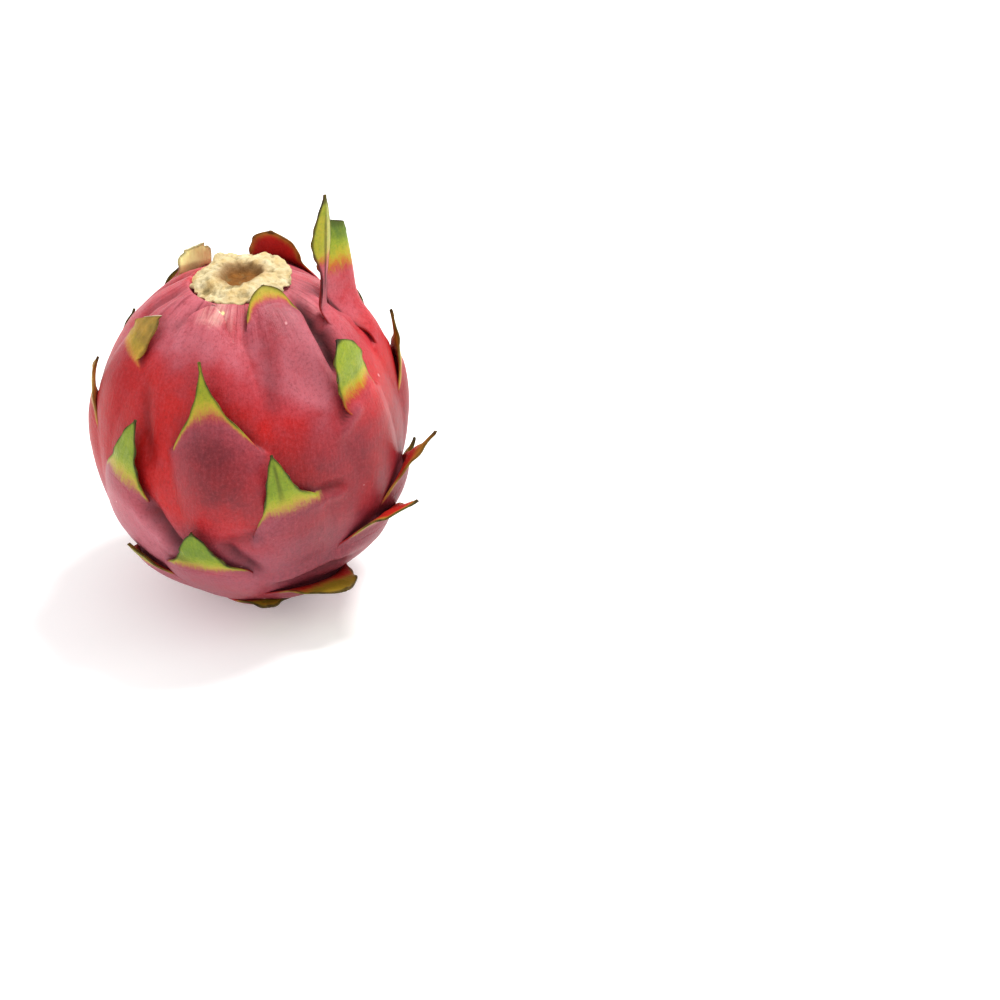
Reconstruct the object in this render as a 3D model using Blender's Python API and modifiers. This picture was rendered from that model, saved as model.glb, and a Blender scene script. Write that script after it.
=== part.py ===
"""A red dragon fruit as picked, standing on its stem end, with its leafy scales and its dry flower scar.

Metres, +Z up, front towards -Y. The origin is the middle of the small flat spot that the fruit rests on.
Lengths below are in millimetres and angles in degrees until the last step of each mesh.
"Around" is the angle round the upright axis from the front, positive towards +X.
"""

import math
import random
from dataclasses import dataclass

import bmesh
import bpy
import numpy as np

MM = 0.001

# Body of the fruit: an egg of revolution, cut level where it rests
HALF_WIDTH = 46.0
HALF_HEIGHT = 53.3
CENTRE_HEIGHT = 52.3
BODY_SEGMENTS = 56
BODY_RINGS = 36

# Every scale is the free top of a shield, a long swelling that fades out down the fruit
LIP_DEPTH = 2.6          # over this distance the shield drops to the skin above it
LIP_REACH = 2.4          # how far the shield runs on under its free tip
LIP_DROP = 0.42          # how far the lip falls at the shield's edge, as a share of its half width
SHIELD_SPREAD = 1.45     # half width of the shield over that of the free tip
BODY_BEND = 1.12         # degrees a millimetre that the skin itself turns along a meridian
ROOT_LENGTH = 7.0        # of the tip's buried root
ROOT_SINK = 2.2          # how far the end of the root lies under the shield
SCALE_THICKNESS = 1.3
TIP_HALF_WIDTH = 0.45
LIFT_SHARE = 0.35        # share of the length over which a tip turns up from the skin
FOLD_SHARE = 0.4         # share of the length over which a folded tip closes
BLADE_COLUMNS = 4
BLADE_ROWS = 6
WELD = 0.005             # points this close are made one after the cuts

# Rings of scales on the side away from the front
BACK_RINGS = ((25.0, 100.0), (45.0, 118.0), (63.0, 142.0), (77.0, 122.0))
BACK_STEP = 46.0
BACK_END = 246.0
BACK_SEED = 11

# Flower scar, the corky collar left where the flower dried off
SCAR_RADIUS = 14.8
SCAR_LOBES = 9
SCAR_LOBE_DEPTH = 0.9
SCAR_STEPS = 54
SCAR_TILT = 6.0          # degrees towards -X
SEAT_HEIGHT = 101.6
SEAT_RADIUS = 15.6
SEAT_DEPTH = 14.0        # how far the cutter stands above the seat
GAP = 0.3
# Half section of the scar: radius and height above its foot, from the pit's floor outwards
SCAR_SECTION = (
    (0.0, 1.5), (3.6, 1.5), (5.6, 2.9), (7.0, 4.9), (9.6, 5.5),
    (12.4, 4.7), (14.8, 3.0), (14.8, 1.6), (13.6, 0.0), (0.0, 0.0),
)

PEEL_RED = (0.50, 0.045, 0.075, 1.0)
SCAR_CREAM = (0.80, 0.70, 0.42, 1.0)


@dataclass
class Scale:
    """One leafy scale. Its lip is where the free tip leaves the shield."""

    around: float
    height: float            # of the middle of its lip above the resting plane
    length: float            # of the free tip
    half_width: float        # of the free tip at its feet
    lean: float = 0.0        # degrees that the tip leans to the right
    lift: float = 6.0        # degrees that the tip stands off the skin
    turn: float = LIFT_SHARE  # share of the length over which it turns up from the skin
    hug: float = BODY_BEND   # degrees a millimetre that it bends back towards the skin
    neck: float = 0.25       # share of the width that runs on up the tip
    hollow: float = 1.7      # over 1, the feet flare out in hollow curves
    full: float = 2.0        # how blunt the tip is
    cut: float = 0.0         # share of the width that is left where a tip broke off square
    waist: float = 1.0       # share of the width that is left at the lip of a stalked tip
    waist_from: float = 0.0  # share of the length where a stalked tip begins to widen
    waist_to: float = 0.45   # and where it is as wide as it gets
    slant: float = 0.0       # rise of the lip to the right
    sweep: float = 0.0       # sideways bend of the tip, in millimetres at its point
    tip_slant: float = 0.0   # how much higher the left margin ends than the right one
    fold: float = 0.0        # how steeply the margins fold inwards from the midrib
    skew: float = 0.0        # how much less the right half folds
    shield: float = 42.0     # how far the shield runs down the fruit
    rise: float = 2.4        # how far the shield stands out at the lip


NAMED_SCALES = (
    # Upper ring, round the flower scar: a hood, a spear, a folded leaf, and shorter ones behind
    Scale(23.0, 100.5, 7.5, 7.6, lift=20.0, neck=0.8, full=3.0, rise=3.0, shield=26.0),
    Scale(62.0, 95.0, 38.6, 6.2, lift=54.0, turn=0.15, hug=0.1, neck=0.9, full=4.0, waist=0.2,
          waist_from=0.3, waist_to=0.68, fold=0.45, skew=0.7, rise=2.4, shield=20.0),
    Scale(98.0, 86.5, 31.0, 9.4, lift=33.0, hug=0.3, neck=0.74, hollow=2.4, full=9.0, cut=0.46,
          tip_slant=1.3, fold=1.2, skew=0.65, rise=3.4, shield=40.0),
    Scale(154.0, 97.0, 11.0, 8.8, lift=40.0, hug=0.6, neck=0.85, full=5.0, rise=2.4, shield=30.0),
    Scale(-149.0, 96.4, 6.0, 6.0, lift=56.0, hug=0.6, neck=0.85, full=6.0, cut=0.5, tip_slant=0.6,
          rise=2.0, shield=28.0),
    Scale(-28.0, 99.0, 6.0, 7.0, lift=3.0, neck=0.6, full=3.0, rise=1.4, shield=22.0),
    # Shoulder ring
    Scale(-68.5, 90.0, 9.5, 6.6, lean=12.0, lift=9.0, neck=0.85, full=8.0, cut=0.5, tip_slant=-0.9,
          rise=2.8, shield=44.0),
    Scale(49.0, 78.0, 20.0, 7.6, lean=-14.0, lift=36.0, hug=1.5, neck=0.92, hollow=6.0, full=5.0,
          sweep=-2.0, rise=3.6, shield=46.0),
    Scale(97.0, 70.0, 17.0, 8.0, lift=20.0, neck=0.2, rise=4.2, shield=34.0),
    Scale(-14.6, 75.0, 21.0, 10.5, lean=-12.0, lift=7.0, neck=0.13, hollow=2.3, slant=-0.16, rise=4.0,
          shield=44.0),
    Scale(-88.0, 66.0, 15.0, 8.0, lift=24.0, hug=2.5, neck=0.4, rise=2.2, shield=40.0),
    # Middle ring
    Scale(-51.0, 56.5, 21.0, 8.6, lean=15.0, lift=8.0, neck=0.52, hollow=3.5, full=2.8, slant=-0.04,
          rise=3.6, shield=40.0),
    Scale(10.0, 52.3, 19.5, 9.0, lean=-9.0, lift=12.0, neck=0.44, hollow=3.5, full=3.0, slant=0.45,
          rise=3.4, shield=36.0),
    Scale(71.0, 44.0, 20.0, 8.5, lean=-8.0, lift=34.0, hug=0.5, neck=0.25, rise=3.2, shield=32.0),
    # Low ring, whose tips stand out over the floor
    Scale(-21.5, 31.5, 17.0, 11.0, lift=11.0, neck=0.52, hollow=4.0, full=3.2, rise=3.2, shield=24.0),
    Scale(55.0, 34.0, 15.0, 10.5, lean=10.0, lift=52.0, hug=1.6, neck=0.55, full=3.0, rise=3.2,
          shield=24.0),
    Scale(32.0, 15.5, 13.0, 12.0, lean=6.0, lift=46.0, hug=1.2, neck=0.7, full=4.0, rise=2.6,
          shield=14.0),
    Scale(-56.0, 23.0, 10.0, 9.5, lift=9.0, hug=1.0, neck=0.5, rise=2.4, shield=18.0),
    Scale(4.0, 8.5, 10.0, 8.0, lift=26.0, hug=1.6, neck=0.4, rise=1.6, shield=8.0),
    Scale(-113.0, 38.0, 16.0, 9.5, lift=8.0, neck=0.3, rise=2.8, shield=26.0),
)


def back_scales():
    """Scales on the far side, in staggered rings with a small seeded scatter."""
    draw = random.Random(BACK_SEED)
    made = []
    for height, start in BACK_RINGS:
        around = start
        while around < BACK_END:
            made.append(
                Scale(
                    around + draw.uniform(-5.0, 5.0),
                    height + draw.uniform(-3.0, 3.0),
                    length=draw.uniform(15.0, 20.0),
                    half_width=draw.uniform(9.0, 11.5),
                    lean=draw.uniform(-12.0, 12.0),
                    lift=draw.uniform(6.0, 20.0),
                    neck=draw.uniform(0.15, 0.4),
                    rise=draw.uniform(2.6, 3.6),
                    shield=min(42.0, height),
                )
            )
            around += BACK_STEP
    return made


def smooth(share):
    share = np.clip(share, 0.0, 1.0)
    return share * share * (3.0 - 2.0 * share)


def body_radius(height):
    return HALF_WIDTH * math.sqrt(max(0.0, 1.0 - ((height - CENTRE_HEIGHT) / HALF_HEIGHT) ** 2))


def body_normal(points):
    """Outward unit normals of the plain egg at points on or near it."""
    from_centre = points - np.array((0.0, 0.0, CENTRE_HEIGHT))
    slope = from_centre / np.array((HALF_WIDTH, HALF_WIDTH, HALF_HEIGHT)) ** 2
    return slope / np.linalg.norm(slope, axis=-1, keepdims=True)


def scale_frame(scale):
    """The middle of the scale's lip on the plain egg, and its right, up and outward directions."""
    turn = math.radians(scale.around)
    radius = body_radius(scale.height)
    base = np.array((radius * math.sin(turn), -radius * math.cos(turn), scale.height))
    out = body_normal(base)
    up = np.array((0.0, 0.0, 1.0)) - out[2] * out
    up /= np.linalg.norm(up)
    right = np.cross(up, out)
    lean = math.radians(scale.lean)
    leaned_up = math.cos(lean) * up + math.sin(lean) * right
    leaned_right = math.cos(lean) * right - math.sin(lean) * up
    return base, leaned_right, leaned_up, out


def shield_relief(scale, points):
    """How far the scale's shield stands out of the egg at each point."""
    base, right, up, out = scale_frame(scale)
    reach = points - base
    across = reach @ right
    along = reach @ up
    near = (body_normal(points) @ out) > 0.0
    spread = SHIELD_SPREAD * scale.half_width
    lip = scale.slant * across - LIP_DROP * spread * (np.abs(across) / spread) ** 1.5
    below = lip - along
    front = smooth((below + LIP_REACH) / LIP_DEPTH)
    fade = 1.0 - smooth(below / scale.shield)
    side = np.clip(1.0 - (across / spread) ** 2, 0.0, 1.0)
    return np.where(near, scale.rise * front * fade * side, 0.0)


def skin_points(scales, points):
    """Moves points of the plain egg out to the shields, and levels the spot that the fruit rests on."""
    relief = np.max([shield_relief(scale, points) for scale in scales], axis=0)
    moved = points + relief[:, None] * body_normal(points)
    moved[:, 2] = np.maximum(moved[:, 2], 0.0)
    return moved


def midrib(scale, distances):
    """Along, out and slope of the tip's midrib at each distance from the lip, in the scale's frame."""
    fine = np.linspace(0.0, scale.length, 60)
    lift = scale.lift * smooth(fine / (scale.turn * scale.length))
    slope = np.radians(lift - scale.hug * fine)
    step = fine[1] - fine[0]
    along = np.concatenate(([0.0], np.cumsum(np.cos(slope[:-1] + np.diff(slope) / 2)) * step))
    out = np.concatenate(([0.0], np.cumsum(np.sin(slope[:-1] + np.diff(slope) / 2)) * step))
    buried = np.minimum(distances, 0.0)
    bend = math.radians(BODY_BEND)
    dip = bend * buried**2 / 2.0 + ROOT_SINK * (buried / ROOT_LENGTH) ** 2
    free = np.maximum(distances, 0.0)
    return (
        np.interp(free, fine, along) + buried,
        np.interp(free, fine, out) - dip,
        np.interp(free, fine, slope) - bend * buried,
    )


def tip_half_width(scale, share):
    """Half width of the free tip at a share of its length, and of its root below that."""
    free = np.clip(share, 0.0, 1.0)
    flare = (1.0 - scale.neck) * (1.0 - free) ** scale.hollow
    tongue = scale.neck * (1.0 - free**scale.full)
    widening = smooth((free - scale.waist_from) / (scale.waist_to - scale.waist_from))
    waist = scale.waist + (1.0 - scale.waist) * widening
    least = max(TIP_HALF_WIDTH, scale.cut * scale.half_width)
    return np.maximum(scale.half_width * waist * (flare + tongue), least)


def blade_points(scale, side, share):
    """Points of the tip's outer face. side runs from -1 to 1 and share from the root to 1 at the point."""
    base, right, up, out = scale_frame(scale)
    free = np.clip(share, 0.0, 1.0)
    distance = np.where(share < 0.0, share * ROOT_LENGTH, share * scale.length)
    along, lifted, slope = midrib(scale, distance)
    width = side * tip_half_width(scale, share)
    round_the_egg = body_radius(scale.height) / math.hypot(out[0], out[1])
    spread = SHIELD_SPREAD * scale.half_width
    droop = width**2 / (2.0 * round_the_egg) * (1.0 - 0.5 * free)
    droop += scale.rise * (width / spread) ** 2 * (1.0 - free)
    folded = np.abs(width) * np.where(width > 0.0, 1.0 - scale.skew, 1.0)
    droop += scale.fold * folded * smooth(free / FOLD_SHARE)
    along = along + scale.slant * width * (1.0 - free) - scale.tip_slant * width * free**2
    across = width + scale.sweep * free**2
    face = np.outer(-np.sin(slope), up) + np.outer(np.cos(slope), out)
    points = base + np.outer(across, right) + np.outer(along, up) + np.outer(lifted + scale.rise, out)
    return points - droop[:, None] * face, face


def clear_scene():
    for old in list(bpy.data.objects):
        bpy.data.objects.remove(old, do_unlink=True)


def new_collection(name):
    made = bpy.data.collections.new(name)
    bpy.context.scene.collection.children.link(made)
    return made


def new_material(name, colour, roughness):
    material = bpy.data.materials.new(name)
    material.use_nodes = True
    shader = material.node_tree.nodes["Principled BSDF"]
    shader.inputs["Base Color"].default_value = colour
    shader.inputs["Roughness"].default_value = roughness
    shader.inputs["Metallic"].default_value = 0.0
    return material


def mesh_object(name, bm, collection, material):
    mesh = bpy.data.meshes.new(name)
    bm.to_mesh(mesh)
    bm.free()
    made = bpy.data.objects.new(name, mesh)
    collection.objects.link(made)
    mesh.materials.append(material)
    return made


def vertex_array(bm):
    return np.array([vertex.co[:] for vertex in bm.verts])


def place_vertices(bm, points):
    for vertex, point in zip(bm.verts, points):
        vertex.co = point * MM


def body_object(scales, collection, material):
    """The egg with the shields raised from it by formula."""
    bm = bmesh.new()
    bmesh.ops.create_uvsphere(bm, u_segments=BODY_SEGMENTS, v_segments=BODY_RINGS, radius=1.0)
    egg = vertex_array(bm) * np.array((HALF_WIDTH, HALF_WIDTH, HALF_HEIGHT))
    egg[:, 2] += CENTRE_HEIGHT
    place_vertices(bm, skin_points(scales, egg))
    level = [face for face in bm.faces if all(vertex.co.z < 1e-6 for vertex in face.verts)]
    bmesh.ops.dissolve_faces(bm, faces=level, use_verts=True)
    return mesh_object("fruit", bm, collection, material)


def blade_object(number, scale, collection, material):
    """The free tip of one scale: a grid bent by formula, given its thickness by Solidify."""
    bm = bmesh.new()
    bmesh.ops.create_grid(bm, x_segments=BLADE_COLUMNS, y_segments=BLADE_ROWS, size=1.0)
    grid = vertex_array(bm)
    root_share = 1.0 / BLADE_ROWS
    upward = (grid[:, 1] + 1.0) / 2.0
    share = np.where(
        upward < root_share,
        (upward - root_share) / root_share,
        (upward - root_share) / (1.0 - root_share),
    )
    points, face = blade_points(scale, grid[:, 0], share)
    place_vertices(bm, points - SCALE_THICKNESS * face)
    made = mesh_object(f"scale_{number:02d}", bm, collection, material)
    thick = made.modifiers.new("thickness", "SOLIDIFY")
    thick.thickness = SCALE_THICKNESS * MM
    thick.offset = 1.0
    return made


def apply_modifiers(target):
    """Replaces the object's mesh with its evaluated one."""
    bpy.context.view_layer.update()
    graph = bpy.context.evaluated_depsgraph_get()
    mesh = bpy.data.meshes.new_from_object(target.evaluated_get(graph))
    target.modifiers.clear()
    target.data = mesh


def linked_faces(start):
    """All faces that join the first one edge to edge."""
    found = {start}
    waiting = [start]
    while waiting:
        for edge in waiting.pop().edges:
            for face in edge.link_faces:
                if face not in found:
                    found.add(face)
                    waiting.append(face)
    return found


def tidy_union(target):
    """Welds points that the cuts left almost on each other, fills sealed hollows and drops loose scraps."""
    bm = bmesh.new()
    bm.from_mesh(target.data)
    bmesh.ops.triangulate(bm, faces=bm.faces)
    bmesh.ops.dissolve_degenerate(bm, dist=WELD * MM, edges=bm.edges)
    bmesh.ops.remove_doubles(bm, verts=bm.verts, dist=WELD * MM)
    left = set(bm.faces)
    shells = []
    while left:
        shell = linked_faces(next(iter(left)))
        shells.append(shell)
        left -= shell
    shells.sort(key=len)
    for shell in shells[:-1]:
        bmesh.ops.delete(bm, geom=list(shell), context="FACES")
    bm.to_mesh(target.data)
    bm.free()


def union_with(target, collection):
    """Fuses every object of a collection into the target, then removes them."""
    join = target.modifiers.new("union", "BOOLEAN")
    join.operation = "UNION"
    join.operand_type = "COLLECTION"
    join.collection = collection
    join.solver = "EXACT"
    apply_modifiers(target)
    for used in list(collection.objects):
        bpy.data.objects.remove(used, do_unlink=True)
    bpy.data.collections.remove(collection)
    tidy_union(target)


def seat_cutter(collection, material):
    """The round seat that the flower scar grows from."""
    bm = bmesh.new()
    bmesh.ops.create_cone(
        bm, cap_ends=True, segments=SCAR_STEPS, radius1=SEAT_RADIUS * MM, radius2=SEAT_RADIUS * MM,
        depth=SEAT_DEPTH * MM,
    )
    bmesh.ops.translate(bm, verts=bm.verts, vec=(0.0, 0.0, SEAT_DEPTH / 2.0 * MM))
    cutter = mesh_object("seat_cutter", bm, collection, material)
    cutter.location.z = SEAT_HEIGHT * MM
    cutter.rotation_euler.y = math.radians(-SCAR_TILT)
    cutter.hide_render = True
    cutter.display_type = "WIRE"
    return cutter


def cut_seat(target, cutter):
    cut = target.modifiers.new("seat", "BOOLEAN")
    cut.operation = "DIFFERENCE"
    cut.object = cutter
    cut.solver = "EXACT"
    apply_modifiers(target)


def scar_object(collection, material):
    """The corky collar: a turned section whose rim is lobed by formula, with a blind pit on top."""
    profile = bpy.data.meshes.new("flower_scar")
    points = [(radius * MM, 0.0, height * MM) for radius, height in SCAR_SECTION]
    profile.from_pydata(points, [(i, i + 1) for i in range(len(points) - 1)], [])
    scar = bpy.data.objects.new("flower_scar", profile)
    collection.objects.link(scar)
    turn = scar.modifiers.new("turned", "SCREW")
    turn.steps = SCAR_STEPS
    turn.render_steps = SCAR_STEPS
    turn.use_merge_vertices = True
    turn.merge_threshold = 0.00001
    apply_modifiers(scar)
    for vertex in scar.data.vertices:
        radius = math.hypot(vertex.co.x, vertex.co.y) / MM
        around = math.atan2(vertex.co.x, -vertex.co.y)
        wave = math.cos(SCAR_LOBES * around) + 0.5 * math.cos(5 * around + 1.0)
        lobe = 1.0 - SCAR_LOBE_DEPTH / SCAR_RADIUS * (1.0 - wave / 1.5) * float(smooth(radius / SCAR_RADIUS))
        vertex.co.x *= lobe
        vertex.co.y *= lobe
    scar.location.z = (SEAT_HEIGHT + GAP) * MM
    scar.rotation_euler.y = math.radians(-SCAR_TILT)
    scar.data.materials.append(material)
    return scar


def main():
    clear_scene()
    parts = new_collection("dragon_fruit")
    cutters = new_collection("cutters")
    blades = new_collection("blades")
    peel = new_material("peel", PEEL_RED, 0.45)
    cork = new_material("cork", SCAR_CREAM, 0.9)
    scales = list(NAMED_SCALES) + back_scales()
    fruit = body_object(scales, parts, peel)
    cut_seat(fruit, seat_cutter(cutters, cork))
    for number, scale in enumerate(scales):
        apply_modifiers(blade_object(number, scale, blades, peel))
    union_with(fruit, blades)
    fruit.data.shade_smooth()
    fruit.data.set_sharp_from_angle(angle=math.radians(40.0))
    scar = scar_object(parts, cork)
    scar.data.shade_smooth()
    scar.data.set_sharp_from_angle(angle=math.radians(40.0))


main()
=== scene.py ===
import itertools
import math
import random
from dataclasses import dataclass

import bmesh
import bpy
import numpy as np
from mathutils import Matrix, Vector


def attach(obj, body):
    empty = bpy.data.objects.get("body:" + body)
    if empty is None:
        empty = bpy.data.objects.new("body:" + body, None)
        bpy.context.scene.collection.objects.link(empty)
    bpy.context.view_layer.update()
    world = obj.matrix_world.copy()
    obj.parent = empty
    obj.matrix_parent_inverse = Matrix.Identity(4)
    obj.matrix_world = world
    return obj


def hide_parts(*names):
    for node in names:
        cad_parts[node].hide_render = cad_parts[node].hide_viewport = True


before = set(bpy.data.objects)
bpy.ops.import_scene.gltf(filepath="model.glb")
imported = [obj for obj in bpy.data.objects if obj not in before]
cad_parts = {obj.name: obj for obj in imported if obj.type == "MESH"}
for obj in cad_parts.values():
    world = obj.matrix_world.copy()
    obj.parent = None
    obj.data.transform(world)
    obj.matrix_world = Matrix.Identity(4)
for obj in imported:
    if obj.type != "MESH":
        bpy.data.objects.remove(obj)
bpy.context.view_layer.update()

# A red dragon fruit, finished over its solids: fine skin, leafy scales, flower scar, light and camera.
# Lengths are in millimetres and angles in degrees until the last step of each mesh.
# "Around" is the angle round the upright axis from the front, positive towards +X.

MM = 0.001

# Body of the fruit, as in the solids
HALF_WIDTH = 46.0
HALF_HEIGHT = 53.3
CENTRE_HEIGHT = 52.3
SKIN_SEGMENTS = 330
SKIN_RINGS = 228
LUMP_SIZE = 16.0
LUMP_HEIGHT = 0.35
RIPPLE_SIZE = 5.0
RIPPLE_HEIGHT = 0.12

# Shields of the scales: as in the solids, with sharper lips
LIP_REACH = 0.9          # how far a shield runs on above its lip
LIP_DEPTH = 1.5          # over this distance it drops to the skin
LIP_DROP = 0.42          # how far the lip falls at the shield's edge, as a share of its half width
LIP_CURVE = 1.5          # how rounded that fall is
SHIELD_SPREAD = 1.45     # half width of the shield over that of the free tip
SWELL_BELOW = 15.0       # a swollen shield is highest this far below its lip
SWELL_REACH = 11.0
AXIL_ABOVE = 2.6         # the skin dips this far above a lip
AXIL_WIDTH = 1.8
AXIL_DEPTH = 0.35

# Free tips of the scales: as in the solids, with finer outlines
BODY_BEND = 1.12         # degrees a millimetre that the skin itself turns along a meridian
ROOT_LENGTH = 7.0
ROOT_SINK = 2.2
ROOT_GRIP = 0.22         # share of the length over which a tip leaves the skin's own shape
ROOT_COVER = 0.04        # how far its base lies over the skin
TIP_HALF_WIDTH = 0.45
LIFT_SHARE = 0.35        # share of the length over which a tip turns up from the skin
FOLD_SHARE = 0.4         # share of the length over which a folded tip closes
LIP_STRAIGHTENS = 1.6    # how fast the curve of the lip is lost towards the point
FOOT_SHARE = 0.3         # share of the length over which the feet flare out
FOOT_HOLLOW = 2.2        # how hollow their curve is
WAVE_HEIGHT = 0.35       # of the wavy margins
MIDLINE_HEIGHT = 0.3     # of the low groove along the middle
MIDLINE_WIDTH = 0.8
ROOT_ROWS = 8
BLADE_ROWS = 46
BLADE_COLUMNS = 22
BLADE_THICK = 1.5        # at the lip
BLADE_THIN = 0.8         # at the point

# Rings of scales on the side away from the front, as in the solids
BACK_RINGS = ((25.0, 100.0), (45.0, 118.0), (63.0, 142.0), (77.0, 122.0))
BACK_STEP = 46.0
BACK_END = 246.0
BACK_SEED = 11

# Flower scar, a torn crust round a blind pit
SCAR_RADIUS = 14.8
SCAR_TILT = 6.0          # degrees towards -X
SCAR_GAP = 0.3           # between the scar and its seat
SCAR_STEPS = 300
SCAR_RINGS = 96
SCAR_TOP_SHARE = 0.8     # share of its rings that lie on the top
CREST_HEIGHT = 3.4
FLAP_HEIGHT = 2.0        # of the flakes that stand up at the back
LEAST_HEIGHT = 0.4       # of the crust
PIT_RADIUS = 6.9
PIT_FLOOR = 0.5
PIT_WALL = 2.6           # width of the slope round its floor
SEAT_HEIGHT = 101.6
SEAT_RADIUS = 15.4
SEAT_EDGE = 1.6

# Colour fields of the skin
PALE_FROM = 74.0         # the skin pales from this height up
MAUVE_BELOW = 56.0       # and turns mauve from this height down
TORN_AROUND = -22.0      # middle of the shredded cream skin under the flower scar
TORN_REACH = 13.0
TORN_FROM = 97.0
FRINGE_FROM = 92.0       # fine rays show round the flower scar from this height up

# Camera and light, in metres, watts and degrees
LENS = 90.0
SENSOR = 36.0
CAMERA_PLACE = (0.0, -0.6593, 0.4304)
CAMERA_PITCH = 31.6      # downwards
CAMERA_YAW = -6.58
SKY_STRENGTH = 0.96
FLOOR_GLOW = 0.19
FLOOR_SIZE = 6.0
LIGHT_TARGET = (0.0, 0.0, 0.05)
# Name, place, diameter, power and colour of each lamp
LIGHTS = (
    ("key", (0.46, 0.26, 1.1), 0.42, 15.6, (1.0, 0.985, 0.96)),
    ("side", (0.75, -0.2, 0.8), 0.4, 0.8, (1.0, 1.0, 1.0)),
    ("fill", (-0.7, -0.45, 0.5), 0.5, 0.9, (1.0, 1.0, 1.0)),
)


@dataclass
class Scale:
    """One leafy scale, with its shape as in the solids and its colours."""

    around: float
    height: float
    length: float
    half_width: float
    lean: float = 0.0
    lift: float = 6.0
    hug: float = BODY_BEND
    neck: float = 0.25
    hollow: float = 1.7
    full: float = 2.0
    cut: float = 0.0
    waist: float = 1.0
    slant: float = 0.0
    sweep: float = 0.0
    fold: float = 0.0
    shield: float = 42.0
    rise: float = 2.4
    green_from: float = 0.0     # share of the tip's length where its red ends
    green_to: float = 0.5       # and where it is green all over
    rim: float = 0.7            # how green its margins are below that
    dry: float = 0.0            # how far it has withered to tan
    cream: float = 0.0          # and to cream
    inside: float = 0.35        # how red its inner face is
    swell: float = 0.0          # bulge of its shield some way below the lip
    pink: float = 0.0           # how pale its shield is below the lip
    vein: float = 0.0           # how dark its midline is
    foot: float = 0.97          # reach of its feet along the lip, as a share of the shield's half width
    skew: float = 0.0           # how much less its right half folds
    turn: float = LIFT_SHARE    # share of the length over which it turns up from the skin
    waist_from: float = 0.0     # share of the length where its waist begins to widen
    waist_to: float = 0.45      # and where it ends
    greenest: float = 1.0       # 0.6 stays yellow, 1 turns full green
    warm: float = 0.15          # how orange its red turns to green
    tip_slant: float = 0.0      # how much higher its left margin ends
    axil: float = 1.0           # how strong the painted shade on the skin right above its lip is


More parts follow.
